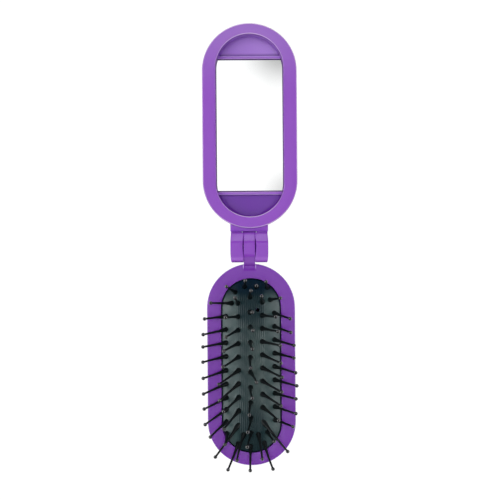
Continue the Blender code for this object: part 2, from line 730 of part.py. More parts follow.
def make_bow_leaf():
    """Thin spring leaf that bows up under the pad when its hinge end is pushed."""
    bm = bmesh.new()
    steps = 24
    previous = None
    for step in range(steps + 1):
        y = leaf_near + (leaf_far - leaf_near) * step / steps
        height = leaf_height(y)
        pair = [bm.verts.new((x, y, height)) for x in (LEAF_WIDTH / 2, -LEAF_WIDTH / 2)]
        if previous:
            bm.faces.new((previous[0], previous[1], pair[1], pair[0]))
        previous = pair
    bmesh.ops.recalc_face_normals(bm, faces=bm.faces)
    if bm.faces[:][0].normal.z < 0:
        bmesh.ops.reverse_faces(bm, faces=bm.faces)
    leaf = add_object("bow_leaf", mesh_from(bm, "bow_leaf"), parts, steel)
    add_solidify(leaf, LEAF_THICKNESS)
    shade(leaf)


def make_push_shoe():
    """Shoe at the leaf's hinge end, with the nose that the mirror half's heel pushes."""
    body_low = (-SHOE_WIDTH / 2, shoe_near - SHOE_LENGTH, shoe_z)
    body_high = (SHOE_WIDTH / 2, shoe_near, shoe_z + SHOE_HEIGHT)
    shoe = add_object("push_shoe", box_mesh("push_shoe", body_low, body_high), parts, purple_dark)
    nose_low = (-NOSE_WIDTH / 2, shoe_near - OVERRUN, nose_z)
    nose_high = (NOSE_WIDTH / 2, hinge_y - NOSE_REACH, nose_z + NOSE_HEIGHT)
    add_boolean(shoe, box_guide("shoe_nose", nose_low, nose_high), "UNION")


# Places that the mechanism's pieces share
glass_middle = (mirror_near + mirror_far) / 2 + MIRROR_PAST_MIDDLE
glass_near = glass_middle - MIRROR_LENGTH / 2
glass_far = glass_middle + MIRROR_LENGTH / 2
outer_hinge_z = crown_z - column_pitch * math.tan(INNER_SLOPE)
shoe_z = SHELL_WALL + SEAT_GAP
nose_z = shoe_z + (SHOE_HEIGHT - NOSE_HEIGHT) / 2
shoe_near = brush_near - BACK_RADIUS - SEAT_GAP - SHOE_TRAVEL
leaf_near = shoe_near - SHOE_LENGTH - SEAT_GAP
leaf_far = brush_far + BACK_RADIUS + ANCHOR_LENGTH + SEAT_GAP
leaf_end_z = shoe_z

clear_scene()
parts = make_collection("folding_brush_with_mirror")
cutters = make_collection("cutters")
purple_shell = make_material("purple_plastic", PURPLE, 0.32)
purple_dark = make_material("dark_purple_plastic", DARK_PURPLE, 0.40)
rubber = make_material("grey_rubber", RUBBER_GREY, 0.55)
pin_black = make_material("black_plastic", PIN_BLACK, 0.25)
mirror_silver = make_material("mirror_glass", SILVER, 0.03, 1.0)
steel = make_material("steel", STEEL, 0.30, 1.0)
tape_foam = make_material("tape_foam", FOAM_WHITE, 0.80)

make_mirror_back_shell()
make_mirror_tray()
make_mirror_glass()
make_brush_back_shell()
make_brush_front_frame()
make_hinge_pin()
make_clamp_ring()
make_pad_border()
dome_mesh = make_dome_mesh()
pin_mesh = make_pin_mesh()
make_pad_slices()
make_bow_leaf()
make_push_shoe()
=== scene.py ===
"""Folding pocket brush with mirror, lying open on its back.

The mirror half points towards +Y and the brush half towards -Y, and both look up.
"""

import math

import bmesh
import bpy
import numpy as np
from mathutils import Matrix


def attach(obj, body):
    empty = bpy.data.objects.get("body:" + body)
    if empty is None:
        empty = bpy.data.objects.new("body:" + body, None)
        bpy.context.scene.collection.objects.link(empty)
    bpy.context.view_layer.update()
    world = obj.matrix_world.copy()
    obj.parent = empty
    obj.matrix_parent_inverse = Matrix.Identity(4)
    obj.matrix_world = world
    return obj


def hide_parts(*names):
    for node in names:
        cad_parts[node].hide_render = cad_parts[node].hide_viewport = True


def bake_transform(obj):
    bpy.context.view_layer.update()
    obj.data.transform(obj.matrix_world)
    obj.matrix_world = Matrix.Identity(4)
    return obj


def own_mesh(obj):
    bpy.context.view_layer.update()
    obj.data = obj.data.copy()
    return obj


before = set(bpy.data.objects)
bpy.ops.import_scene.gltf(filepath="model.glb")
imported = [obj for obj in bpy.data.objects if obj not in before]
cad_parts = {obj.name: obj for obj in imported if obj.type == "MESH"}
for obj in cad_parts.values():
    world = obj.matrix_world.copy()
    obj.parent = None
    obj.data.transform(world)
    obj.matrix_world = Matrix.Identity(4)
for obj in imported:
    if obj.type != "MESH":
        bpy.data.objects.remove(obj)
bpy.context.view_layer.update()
scene = bpy.context.scene
scene.view_settings.view_transform = "Standard"


# Studio: a camera straight above the open brush, a white table that keeps a faint shadow, an even
# white sky, a wide lamp overhead, two long lamps low down at the sides, and panels that show only as
# highlights on glossy things.

camera_place = (-0.000241, -0.001332, 1.0166)
camera_turn = -math.radians(0.4257)
view_width = 0.20345                     # what the picture spans at a metre from the camera

lens = bpy.data.cameras.new("camera")
lens.sensor_width = 36.0
lens.lens = lens.sensor_width / view_width
lens.clip_start = 0.05
lens.clip_end = 20.0
camera = bpy.data.objects.new("camera", lens)
camera.location = camera_place
camera.rotation_euler = (0.0, 0.0, camera_turn)
scene.collection.objects.link(camera)
scene.camera = camera


class Finish:
    """A material in the making: its main shader, and short ways to add nodes to it.

    A value is a plain number or colour, or the output of another node.
    """

    def __init__(self, name, shader="ShaderNodeBsdfPrincipled"):
        """A new material with its main shader, and the coordinates of the piece that it is on."""
        self.material = bpy.data.materials.new(name)
        self.material.use_nodes = True
        self.nodes, self.links = self.material.node_tree.nodes, self.material.node_tree.links
        self.nodes.clear()
        self.shader = self.nodes.new(shader)
        output = self.nodes.new("ShaderNodeOutputMaterial")
        self.links.new(self.shader.outputs[0], output.inputs["Surface"])
        self.place = self.nodes.new("ShaderNodeTexCoord").outputs["Object"]

    def give(self, name, value, node=None):
        """Give an input of the main shader, or of another node, its value."""
        socket = (self.shader if node is None else node).inputs[name]
        if isinstance(value, bpy.types.NodeSocket):
            self.links.new(value, socket)
        else:
            socket.default_value = (*value, 1) if socket.type == "RGBA" else value

    def node(self, kind, values, **settings):
        """A new node with its settings, and with its inputs' values by name or number."""
        node = self.nodes.new(kind)
        for name, setting in settings.items():
            setattr(node, name, setting)
        for name, value in values.items():
            self.give(name, value, node)
        return node

    def axes(self):
        """The coordinates' X, Y and Z."""
        return self.node("ShaderNodeSeparateXYZ", {0: self.place}).outputs

    def maths(self, operation, first, second=0.0):
        """Two numbers put together by a sum, a product or the like."""
        return self.node("ShaderNodeMath", {0: first, 1: second}, operation=operation).outputs[0]

    def ramp(self, value, start, end, low=0.0, high=1.0, course="SMOOTHSTEP"):
        """A number that goes from low to high as the value goes from start to end."""
        limits = {"Value": value, "From Min": start, "From Max": end, "To Min": low, "To Max": high}
        return self.node("ShaderNodeMapRange", limits, interpolation_type=course).outputs["Result"]


def level_square(name, reach, height, material, facing=1):
    """A level square round the middle of the studio, which faces up, or down where facing is -1."""
    corners = [(x * reach, y * reach * facing, height) for x, y in ((-1, -1), (1, -1), (1, 1), (-1, 1))]
    mesh = bpy.data.meshes.new(name)
    mesh.from_pydata(corners, [], [(0, 1, 2, 3)])
    mesh.materials.append(material)
    square = bpy.data.objects.new(name, mesh)
    scene.collection.objects.link(square)
    return square


# The table is matt and white where light falls on it, and glows as white as the sky where it is seen
# directly, in the mirror or through glass.
table_reach = 2.5
white_table = Finish("white_table", "ShaderNodeMixShader")
ray = white_table.node("ShaderNodeLightPath", {}).outputs
seen = white_table.maths("MAXIMUM", ray["Is Camera Ray"], ray["Is Glossy Ray"])
seen = white_table.maths("MAXIMUM", seen, ray["Is Transmission Ray"])
white_table.give(0, white_table.maths("MULTIPLY", seen, 0.90))
white_table.give(1, white_table.node("ShaderNodeBsdfDiffuse", {"Color": (0.90, 0.90, 0.90)}).outputs[0])
white_table.give(2, white_table.node("ShaderNodeEmission", {"Strength": 1.10}).outputs[0])
table = level_square("table", table_reach, 0.0, white_table.material)

world = bpy.data.worlds.new("white_sky")
scene.world = world
world.use_nodes = True
nodes, links = world.node_tree.nodes, world.node_tree.links
sky = nodes["Background"]
sky.inputs["Color"].default_value = (1, 1, 1, 1)
path = nodes.new("ShaderNodeLightPath")
# The sky's strength on matt things comes first, and then what it is in gloss and where it is seen directly.
strength = 0.26
for seen, new_strength in (("Is Glossy Ray", 0.12), ("Is Transmission Ray", 1.0), ("Is Camera Ray", 1.0)):
    change = nodes.new("ShaderNodeMapRange")
    links.new(path.outputs[seen], change.inputs["Value"])
    if seen == "Is Glossy Ray":
        change.inputs["To Min"].default_value = strength
    else:
        links.new(strength, change.inputs["To Min"])
    change.inputs["To Max"].default_value = new_strength
    strength = change.outputs["Result"]
links.new(strength, sky.inputs["Strength"])


def lamp(name, place, aim, size, watts, shows_in_gloss=True, lights_matt=True):
    """A soft rectangular lamp at a place, turned towards a point. It may serve matt light or gloss alone."""
    light = bpy.data.lights.new(name, "AREA")
    light.shape = "RECTANGLE"
    light.size, light.size_y = size
    light.energy = watts
    thing = bpy.data.objects.new(name, light)
    thing.location = place
    away = np.array(place) - np.array(aim)
    thing.rotation_euler = (math.atan2(math.hypot(away[0], away[1]), away[2]), 0.0,
                            math.atan2(away[0], -away[1]))
    thing.visible_glossy = shows_in_gloss
    thing.visible_diffuse = lights_matt
    scene.collection.objects.link(thing)


lamp("lamp_above", (-0.10, 0.05, 1.5), (0, 0.0, 0), (0.9, 0.9), 12.6, shows_in_gloss=False)
lamp("lamp_left", (-0.85, -0.02, 0.40), (0, -0.03, 0.015), (0.75, 0.30), 1.0, shows_in_gloss=False)
lamp("lamp_right", (0.85, -0.02, 0.38), (0, -0.03, 0.015), (0.75, 0.28), 0.7, shows_in_gloss=False)
lamp("gloss_left", (-0.80, -0.02, 0.52), (0, -0.03, 0.015), (0.60, 0.34), 4.6, lights_matt=False)
lamp("gloss_right", (0.80, -0.02, 0.50), (0, -0.03, 0.015), (0.60, 0.30), 3.6, lights_matt=False)
lamp("gloss_far", (0.0, 1.0, 0.40), (0, 0, 0.02), (0.9, 0.16), 1.7, lights_matt=False)

# The ceiling that glossy things face: a white panel that fills the mirror, on a dim ground, with two soft
# grey patches that the mirror shows near its right-hand corners.
ceiling_height, ceiling_reach = 2.0, 0.6
panel_middle = 0.150                     # how far along Y the panel's middle is
ceiling_light = Finish("ceiling_light", "ShaderNodeEmission")


def patch(x, y, reach, low):
    """A soft round patch: low at its middle, and one outside its reach."""
    points = {0: ceiling_light.place, 1: (x, y, ceiling_height)}
    away = ceiling_light.node("ShaderNodeVectorMath", points, operation="DISTANCE").outputs["Value"]
    return ceiling_light.ramp(away, 0.0, reach, low, 1.0)


spot = ceiling_light.axes()
across = ceiling_light.maths("ABSOLUTE", spot["X"])
along = ceiling_light.maths("ABSOLUTE", ceiling_light.maths("SUBTRACT", spot["Y"], panel_middle))
panel = ceiling_light.maths("MULTIPLY", ceiling_light.ramp(across, 0.06, 0.12, 1.0, 0.0),
                            ceiling_light.ramp(along, 0.10, 0.16, 1.0, 0.0))
panel = ceiling_light.ramp(panel, 0.0, 1.0, 0.30, 1.15, "LINEAR")
far_patch, near_patch = patch(0.042, 0.250, 0.066, 0.30), patch(0.052, 0.062, 0.052, 0.55)
patches = ceiling_light.maths("MULTIPLY", far_patch, near_patch)
ceiling_light.give("Strength", ceiling_light.maths("MULTIPLY", panel, patches))
ceiling = level_square("ceiling", ceiling_reach, ceiling_height, ceiling_light.material, facing=-1)
ceiling.visible_camera = ceiling.visible_diffuse = False
ceiling.visible_transmission = ceiling.visible_shadow = False


# Outer shell of the mirror half: a deep rounded dish moulded in purple plastic. The mirror tray's rim
# sits on its edge. Its hinge end has a notch for the tray's neck, and a heel that pushes the brush's
# shoe when the two halves are open.

hinge_x, hinge_y, hinge_z = -0.0005, -0.0002335, 0.0168
mirror_outline = mirror_half_width, mirror_near, mirror_far = 0.0193, 0.007616, 0.091016
rim_top, seam_top = 0.0166, 0.0132
shell_wall, back_radius, seat_gap = 0.0016, 0.0048, 0.0003
seam_edge, inner_chamfer = 0.00025, 0.00015
inner_stop = 900 / 11                    # in degrees: the inner corner ends a little short of level
ear_outer = 0.00770
neck_bottom, neck_inside = 0.0110, 0.0034
heel_half, heel_height, heel_reach = 0.0018, 0.0036, 0.0030
cut_past = 0.001                         # how far a cut reaches past the outside of what it cuts


def arc(start, stop, steps):
    """Cosines and sines of evenly spaced angles, given in degrees."""
    angle = np.radians(np.linspace(start, stop, steps))
    return np.cos(angle), np.sin(angle)


def oval_rows(half, low, high, height, arc_steps=44, side_steps=1):
    """Ovals, one a row, anticlockwise from above.

    Each is two half circles round the centres (0, high - half) and (0, low + half), joined by
    straight sides. The four values are arrays with a value for each row, or plain numbers.
    """
    values = (np.atleast_1d(np.asarray(value, float)) for value in (half, low, high, height))
    half, low, high, height = (value[:, None] for value in np.broadcast_arrays(*values))
    cos, sin = arc(0, 180, arc_steps)
    along = np.linspace(0, 1, side_steps + 1)[1:-1]
    upper, lower = high - half, low + half
    x = np.hstack([half * cos, -half + 0 * along, -half * cos, half + 0 * along])
    y = np.hstack([upper + half * sin, upper + (lower - upper) * along,
                   lower - half * sin, lower + (upper - lower) * along])
    return np.stack([x, y, height + 0 * x], axis=-1)


def edge_path(steps):
    """The steps' outlines, insets from them and heights, as the arrays that oval_rows takes."""
    half, low, high, inset, height = (np.array(v, float) for v in zip(*((*o, i, z) for o, i, z in steps)))
    return half - inset, low + inset, high - inset, height


def skin(rows, round_again=False):
    """A mesh over rows of points: every row is a closed loop that joins the next one point by point.

    The first and last rows are filled, unless the rows themselves close into a ring.
    """
    rows = np.asarray(rows, float)
    index = np.arange(rows.shape[0] * rows.shape[1]).reshape(rows.shape[:2])
    here = index if round_again else index[:-1]
    after = np.roll(index, -1, axis=0) if round_again else index[1:]
    quads = np.stack([here, np.roll(here, -1, axis=1), np.roll(after, -1, axis=1), after], axis=-1)
    faces = quads.reshape(-1, 4).tolist()
    if not round_again:
        faces += [index[0][::-1].tolist(), index[-1].tolist()]
    mesh = bpy.data.meshes.new("skin")
    mesh.from_pydata(rows.reshape(-1, 3).tolist(), [], faces)
    return mesh


def joined(*meshes):
    """One mesh that holds several, with doubled points merged."""
    bm = bmesh.new()
    for mesh in meshes:
        bm.from_mesh(mesh)
        bpy.data.meshes.remove(mesh)
    bmesh.ops.remove_doubles(bm, verts=bm.verts, dist=1e-7)
    whole = bpy.data.meshes.new("joined")
    bm.to_mesh(whole)
    bm.free()
    return whole


def placed(name, mesh, finish, sharp=38):
    """Put a finished mesh in the scene, smooth up to the given angle between its faces."""
    mesh.name = name
    piece = bpy.data.objects.new(name, mesh)
    scene.collection.objects.link(piece)
    mesh.materials.append(finish.material)
    mesh.shade_smooth()
    mesh.set_sharp_from_angle(angle=math.radians(sharp))
    return piece


def rounded_ends(low, high, depth, inset, steps):
    """Places along X, and how far a shape is drawn in at each: by a quarter of an ellipse at both ends."""
    cos, sin = arc(0, 90, steps)
    x = np.concatenate([low + depth * (1 - cos), high - depth * (1 - cos[::-1])])
    return x[:, None], inset * (1 - np.concatenate([sin, sin[::-1]]))[:, None]


def bar(low, high, radius, steps=5):
    """A box with rounded edges, as rows along X: rectangles with arcs for corners, drawn in at both ends."""
    x, inset = rounded_ends(low[0], high[0], radius, radius, steps)
    turn = np.radians(np.concatenate([np.linspace(0, 90, steps) + 90 * quarter for quarter in range(4)]))
    corner_y = np.repeat([high[1] - radius, low[1] + radius, low[1] + radius, high[1] - radius], steps)
    corner_z = np.repeat([high[2] - radius, high[2] - radius, low[2] + radius, low[2] + radius], steps)
    y = corner_y + (radius - inset) * np.cos(turn)
    z = corner_z + (radius - inset) * np.sin(turn)
    return np.stack([x + 0 * y, y, z], axis=-1)


def cut(mesh, *tools):
    """The mesh with the shapes of other meshes taken out of it."""
    whole = bpy.data.objects.new("whole", mesh)
    scene.collection.objects.link(whole)
    helpers = []
    for tool in tools:
        helper = bpy.data.objects.new("tool", tool)
        scene.collection.objects.link(helper)
        helpers.append(helper)
        change = whole.modifiers.new("cut", "BOOLEAN")
        change.operation = "DIFFERENCE"
        change.solver = "EXACT"
        change.object = helper
    bpy.context.view_layer.update()
    result = bpy.data.meshes.new_from_object(whole.evaluated_get(bpy.context.evaluated_depsgraph_get()))
    for thing in [whole, *helpers]:
        bpy.data.objects.remove(thing, do_unlink=True)
    return result


def rounding(outline, inset, height, reach, rise, steps, start=0, stop=90):
    """Points of a rounded corner for edge_path, at even angles between two in degrees.

    The inset grows by the reach times one less the cosine, the height by the rise times one less the sine.
    """
    cos, sin = arc(start, stop, steps)
    return [(outline, inset + reach * (1 - c), height + rise * (1 - s)) for c, s in zip(cos, sin)]


def shell_rows(outline):
    """A shell's ovals, from the middle of its underside up round the outside and down the inside."""
    inner_radius, top = back_radius - shell_wall, seam_top - seat_gap
    steps = rounding(outline, 0, 0, back_radius, back_radius, 12, 90, 0)
    steps += rounding(outline, 0, top, seam_edge, -seam_edge, 4)
    steps += [(outline, shell_wall - inner_chamfer, top), (outline, shell_wall, top - inner_chamfer)]
    steps += rounding(outline, shell_wall, shell_wall, inner_radius, inner_radius, 6, 0, inner_stop)
    return oval_rows(*edge_path(steps))


def noise(finish, scale, detail, where=None):
    """A noise of the given scale, in cycles a metre."""
    values = {"Scale": scale, "Detail": detail, "Vector": finish.place if where is None else where}
    return finish.node("ShaderNodeTexNoise", values).outputs["Fac"]


def noise_range(finish, scale, detail, low, high, where=None):
    """A number that a noise carries between two limits."""
    return finish.ramp(noise(finish, scale, detail, where), 0.3, 0.7, low, high, "LINEAR")


def shades(finish, scale, detail, first, second, where=None):
    """Two colours mixed by a noise."""
    ramp = finish.node("ShaderNodeValToRGB", {"Fac": noise(finish, scale, detail, where)})
    for element, position, colour in zip(ramp.color_ramp.elements, (0.35, 0.65), (first, second)):
        element.position = position
        element.color = (*colour, 1)
    return ramp.outputs["Color"]


def mixed(finish, factor, first, second):
    """Two colours mixed by a number."""
    values = {"Factor": factor, "A": first, "B": second}
    return finish.node("ShaderNodeMix", values, data_type="RGBA").outputs["Result"]


def bumped(finish, height, distance, strength, under=None):
    """The surface's direction on a bump of a height signal, on top of another bump if one is given."""
    bump = finish.node("ShaderNodeBump", {"Height": height, "Distance": distance, "Strength": strength})
    if under is not None:
        finish.give("Normal", under, bump)
    return bump.outputs["Normal"]


def moulded_plastic(name, first, second, painted_highlight=None, rough=(0.20, 0.25), grain=0.00002, painted_tints=()):
    """Glossy moulded plastic: two near shades in cloudy flow patches, uneven gloss, fine orange-peel skin.

    A tint is painted light or shade: a colour, the share of it that is mixed in, and ranges. Each range
    names an axis, the place where the tint begins and the place where it is full; what several ranges give
    is multiplied. Where the mesh marks its edges, a painted highlight lightens them.
    """
    plastic = Finish(name)
    colour = shades(plastic, 40.0, 2.0, first, second)
    # Each tint mixes painted light or shade into the colour.
    for painted_tint, share, *ranges in painted_tints:
        factor, axes = None, plastic.axes()
        for axis, start, full in ranges:
            strength = plastic.ramp(axes[axis], start, full, 0.0, share if factor is None else 1.0)
            factor = strength if factor is None else plastic.maths("MULTIPLY", factor, strength)
        colour = mixed(plastic, factor, colour, painted_tint)
    # A painted highlight lightens the edges that the mesh marks.
    if painted_highlight is not None:
        edge = plastic.node("ShaderNodeAttribute", {}, attribute_name="edge").outputs["Fac"]
        colour = mixed(plastic, edge, colour, painted_highlight)
    plastic.give("Base Color", colour)
    plastic.give("Roughness", noise_range(plastic, 70.0, 2.0, *rough))
    peel = noise_range(plastic, 900.0, 2.0, 0.0, 1.0)
    waves = noise_range(plastic, 60.0, 1.0, 0.0, 1.0)
    plastic.give("Normal", bumped(plastic, waves, 3 * grain, 0.20, bumped(plastic, peel, grain, 0.20)))
    return plastic


mirror_shades = (0.278, 0.052, 0.575), (0.296, 0.057, 0.595)
mirror_purple = moulded_plastic("mirror_half_purple", *mirror_shades)

notch_half = ear_outer + seat_gap
notch = skin(bar((hinge_x - notch_half, mirror_near - cut_past, neck_bottom - seat_gap),
                 (hinge_x + notch_half, mirror_near + neck_inside + seat_gap, rim_top), radius=0.0002))
heel = skin(bar((-heel_half, hinge_y - heel_reach + seat_gap, shell_wall),
                (heel_half, mirror_near + shell_wall, shell_wall + heel_height), radius=0.0003))
shell_mesh = joined(cut(skin(shell_rows(mirror_outline)), notch), heel)
mirror_shell = placed("mirror_shell_piece", shell_mesh, mirror_purple)
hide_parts("mirror_back_shell")
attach(mirror_shell, "mirror_half")


# Mirror tray: the front of the mirror half, one glossy purple moulding. A flat rim with softly rounded
# edges runs round a deep recess with drafted walls; two low ribs cross its floor at the mirror's ends,
# and a sunk neck carries the hinge's two broad ears.

mirror_recess = (0.0138, mirror_near + 0.0047, mirror_far - 0.0043)
recess_floor, recess_draft, floor_radius = 0.0031, 0.00012, 0.0005
glass_near, glass_far, glass_top = 0.022666, 0.077166, 0.0052
rib_width, rib_top = 0.0013, glass_top + 0.0005
neck_top = 0.0144
frame_wall, skirt_chamfer = 0.0013, 0.0002
edge_radius = 0.0005
dish_depth = 0.00028                     # how far the recess's floor sinks along its middle
recess_side = 0.0144                     # how far from the middle the recesses' own edges reach
knuckle_reach, ear_round, ear_inner, ear_edge = 0.00615, 0.00660, 0.00275, 0.00035
knuckle_hollow, hollow_depth, ear_barrel, ear_step = 0.00043, 0.0015, 0.0004, 0.0002
lip_back, lip_front, lip_height = 0.0012, 0.0005, 0.0016


def skirt(outline):
    """Points of a rim's skirt, from its inner face round its lower edge to the outside."""
    return [(outline, frame_wall, rim_top - frame_wall), (outline, frame_wall, seam_top + skirt_chamfer),
            (outline, frame_wall - skirt_chamfer, seam_top), (outline, skirt_chamfer, seam_top),
            (outline, 0.0, seam_top + skirt_chamfer)]


# The tray's profile goes from under its floor up the back of its wall, round the skirt, over the rim, down
# the recess's wall and into its floor.
tray_steps = [(mirror_recess, 0.0012, recess_floor - frame_wall),
              (mirror_recess, -0.0005, recess_floor - frame_wall),
              (mirror_recess, -0.0009, recess_floor - 0.0009),
              (mirror_recess, -frame_wall, rim_top - frame_wall)]
tray_steps += skirt(mirror_outline) + rounding(mirror_outline, 0, rim_top, edge_radius, -edge_radius, 6)
tray_steps += rounding(mirror_recess, 0, rim_top, -edge_radius, -edge_radius, 9, 90, 0)
tray_steps += rounding(mirror_recess, recess_draft, recess_floor, floor_radius, floor_radius, 5)
tray_rows = oval_rows(*edge_path(tray_steps))
last_row = tray_rows[-1]
floor_rows = last_row + (np.linspace(1, 0, 12)[1:, None, None] - 1) * (last_row - last_row * (0, 1, 1))
floor_rows[..., 2] -= dish_depth * (1 - (floor_rows[..., 0] / mirror_recess[0]) ** 2)
tray_body = skin(np.concatenate([tray_rows, floor_rows]))


def rib_reach(y):
    """Half the recess's width at a place along it, from its straight sides and round ends."""
    half, low, high = mirror_recess
    beyond = max(y - (high - half), (low + half) - y, 0.0)
    return math.sqrt(half ** 2 - beyond ** 2)


ribs = [skin(bar((-rib_reach(y), y - rib_width / 2, recess_floor - 0.0004),
                 (rib_reach(y), y + rib_width / 2, rib_top), radius=0.00025))
        for y in (glass_near - rib_width / 2, glass_far + rib_width / 2)]


def turned_outline(planes, circle, softness=34.0, steps=120):
    """A rounded outline about the hinge axis, in degrees from +Y towards +Z.

    Its reach in each direction is the softened least of the distances to some straight sides, each given
    by the direction that it faces and its distance, and of a circle that holds between two directions.
    """
    turn = np.linspace(-180, 180, steps, endpoint=False)
    terms = []
    for facing, distance in planes:
        slant = np.cos(np.radians(turn - facing))
        terms.append(np.where(slant > 0.05, distance / np.maximum(slant, 0.05), 1.0))
    radius, start, stop = circle
    terms.append(np.where((turn >= start) & (turn <= stop), radius, 1.0))
    reach = np.sum([t ** -softness for t in terms], axis=0) ** (-1 / softness)
    return np.radians(turn), reach


def turned_rows(outline, low_x, high_x, edge, steps=6):
    """Rows along X of such an outline, drawn in at both ends so that the end edges are rounded."""
    turn, reach = outline
    x, inset = rounded_ends(low_x, high_x, edge, edge, steps)
    y = hinge_y + (reach - inset) * np.cos(turn)
    z = hinge_z + (reach - inset) * np.sin(turn)
    return np.stack([x + 0 * y, y, z], axis=-1)


facet = (55.0, 0.00418)                  # the slope that the neck's side of every knuckle has
knuckle_top = (90, 0.0036)
ear_planes = [facet, knuckle_top, (180, knuckle_reach), (0, knuckle_reach)]
ear_outline = turned_outline(ear_planes, (ear_round, -180, 180))


def barrelled(rows, side):
    """The ear's rows with its outer face drawn in towards both ends, and its inner face hollow at the top."""
    x, y, z = side * rows[..., 0], (rows[..., 1] - hinge_y) / knuckle_reach, rows[..., 2] - hinge_z
    outer = np.clip((x - ear_inner) / (ear_outer - ear_inner), 0, 1)
    inner_face = knuckle_hollow * (1 - np.clip(1 - (1.6 * y) ** 2, 0, 1) * np.clip(z / hollow_depth, 0, 1))
    x = x - (1 - outer) * inner_face - outer * ear_barrel * np.abs(y) ** 3
    return np.stack([hinge_x + side * x, rows[..., 1], rows[..., 2]], axis=-1)


ears = []
for side in (-1, 1):
    low_x, high_x = sorted((side * ear_inner, side * ear_outer))
    ears.append(skin(barrelled(turned_rows(ear_outline, low_x, high_x, ear_edge), side)))
    ears.append(skin(bar((hinge_x + low_x + ear_step, hinge_y, neck_bottom),
                         (hinge_x + high_x - ear_step, mirror_near, neck_top - ear_step), radius=0.0003)))
neck_face = hinge_y + knuckle_reach + seat_gap
neck = skin(bar((hinge_x - ear_outer, neck_face, neck_bottom),
                (hinge_x + ear_outer, mirror_near + neck_inside, neck_top), radius=0.0004))
lip = skin(bar((hinge_x - ear_inner, neck_face - lip_back, neck_bottom),
               (hinge_x + ear_inner, neck_face + lip_front, neck_bottom + lip_height), radius=0.0002))


def readings(source, name):
    """A vector that every point of a mesh has, one a row."""
    values = np.empty(len(source) * 3, np.float32)
    source.foreach_get(name, values)
    return values.reshape(-1, 3)


def keep_painted_highlight(mesh, highlight_share):
    """Keep in the mesh how much painted highlight each point gets, from none to one."""
    mesh.attributes.new("edge", "FLOAT", "POINT").data.foreach_set("value", highlight_share.astype(np.float32))


def mark_highlit_edges(mesh, lowest, from_y=-1.0):
    """Mark how much each point lies on a rounded upper edge, where a painted highlight goes.

    It is the square of the sine of twice the slope: one where the surface leans halfway between level
    and upright, none where it is either, and none below the given height or short of a place along Y.
    On a recess's edge it fades from the ends to the straight sides, and on an outer edge it is less.
    """
    across, along, up = readings(mesh.vertex_normals, "vector").T
    x, y, z = readings(mesh.vertices, "co").T
    level = np.clip(up, 0, 1) ** 2
    highlight_share = np.where((z > lowest) & (y > from_y), 4 * level * (1 - level), 0.0)
    endwise = np.abs(along) / np.maximum(np.hypot(across, along), 1e-6)
    keep_painted_highlight(mesh, highlight_share * np.where(np.abs(x) < recess_side, endwise, 0.6))


# The tints are painted light and shade, paler at the far end than by the hinge. They are, in turn: painted
# light at the far end, a painted reflection on the floor beyond the mirror, most on its right, a painted
# shadow at the foot of the far rib, painted shade on the floor by the hinge, painted light on the ears' free
# ends, and a painted highlight on the near rib.
tray_purple = moulded_plastic("mirror_tray_purple", *mirror_shades, painted_highlight=(0.86, 0.62, 1.00), painted_tints=(
    ((0.36, 0.16, 0.64), 0.80, ("Y", 0.060, 0.091)),
    ((0.55, 0.30, 0.84), 0.68, ("X", -0.024, 0.012), ("Z", 0.0123, 0.0115), ("Y", 0.0770, 0.0790)),
    ((0.10, 0.02, 0.26), 0.60, ("Y", 0.0800, 0.0787), ("Z", 0.0050, 0.0042)),
    ((0.20, 0.000, 0.56), 0.36, ("Y", 0.0222, 0.0212), ("Z", 0.0130, 0.0110)),
    ((0.42, 0.15, 0.70), 0.60, ("Y", -0.0036, -0.0052)),
    ((0.52, 0.24, 0.84), 0.45, ("Y", 0.0240, 0.0236), ("Y", 0.0214, 0.0218), ("Z", 0.0110, 0.0100)),
))
mirror_tray = placed("mirror_tray_piece", joined(tray_body, *ribs, *ears, neck, lip), tray_purple)
# The tray's rounded upper edges get a painted highlight.
mark_highlit_edges(mirror_tray.data, recess_floor + 0.0015, mirror_near)
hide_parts("mirror_tray")
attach(mirror_tray, "mirror_half")


# Mirror: a silvered glass plate with a narrow polished bevel and dark cut edges. It lies between the two
# ribs, and foam tape holds it to the floor of the recess.

glass_bottom, glass_play = 0.0036, 0.00004
glass_half = mirror_recess[0] - recess_draft - glass_play
under_bevel, top_bevel = 0.0001, 0.00012


def mirror_rows(insets, heights, steps=10):
    """Outlines of the plate: straight sides, short arcs of the recess's round ends, and straight ends."""
    rows = []
    for inset, height in zip(insets, heights):
        half = glass_half - inset
        upper, lower = mirror_recess[2] - mirror_recess[0], mirror_recess[1] + mirror_recess[0]
        high, low = glass_far - seat_gap - inset, glass_near + seat_gap + inset
        rise = np.linspace(0, math.asin((high - upper) / half), steps)
        fall = np.linspace(0, math.asin((lower - low) / half), steps)
        x = half * np.concatenate([np.cos(rise), -np.cos(rise[::-1]), -np.cos(fall), np.cos(fall[::-1])])
        y = np.concatenate([upper + half * np.sin(rise), upper + half * np.sin(rise[::-1]),
                            lower - half * np.sin(fall), lower - half * np.sin(fall[::-1])])
        rows.append(np.stack([x, y, height + 0 * x], axis=-1))
    return rows


silver = Finish("silvered_glass")
silver.give("Metallic", 1.0)
silver.give("Base Color", shades(silver, 30.0, 3.0, (0.93, 0.94, 0.94), (0.97, 0.975, 0.975)))
silver.give("Roughness", noise_range(silver, 160.0, 6.0, 0.008, 0.045))

cut_glass = Finish("cut_glass_edge")
cut_glass.give("Base Color", shades(cut_glass, 700.0, 4.0, (0.030, 0.045, 0.050), (0.075, 0.100, 0.105)))
cut_glass.give("Roughness", noise_range(cut_glass, 1500.0, 4.0, 0.15, 0.40))

plate_heights = (glass_bottom, glass_bottom + under_bevel, glass_top - top_bevel, glass_top)
plate = joined(skin(mirror_rows((under_bevel, 0.0, 0.0, top_bevel), plate_heights)))
mirror_plate = placed("mirror_plate_piece", plate, silver, sharp=20)
plate.materials.append(cut_glass.material)
plate.polygons.foreach_set("material_index", [0 if p.normal.z > 0.4 else 1 for p in plate.polygons])
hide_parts("mirror_glass")
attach(mirror_plate, "mirror_half")

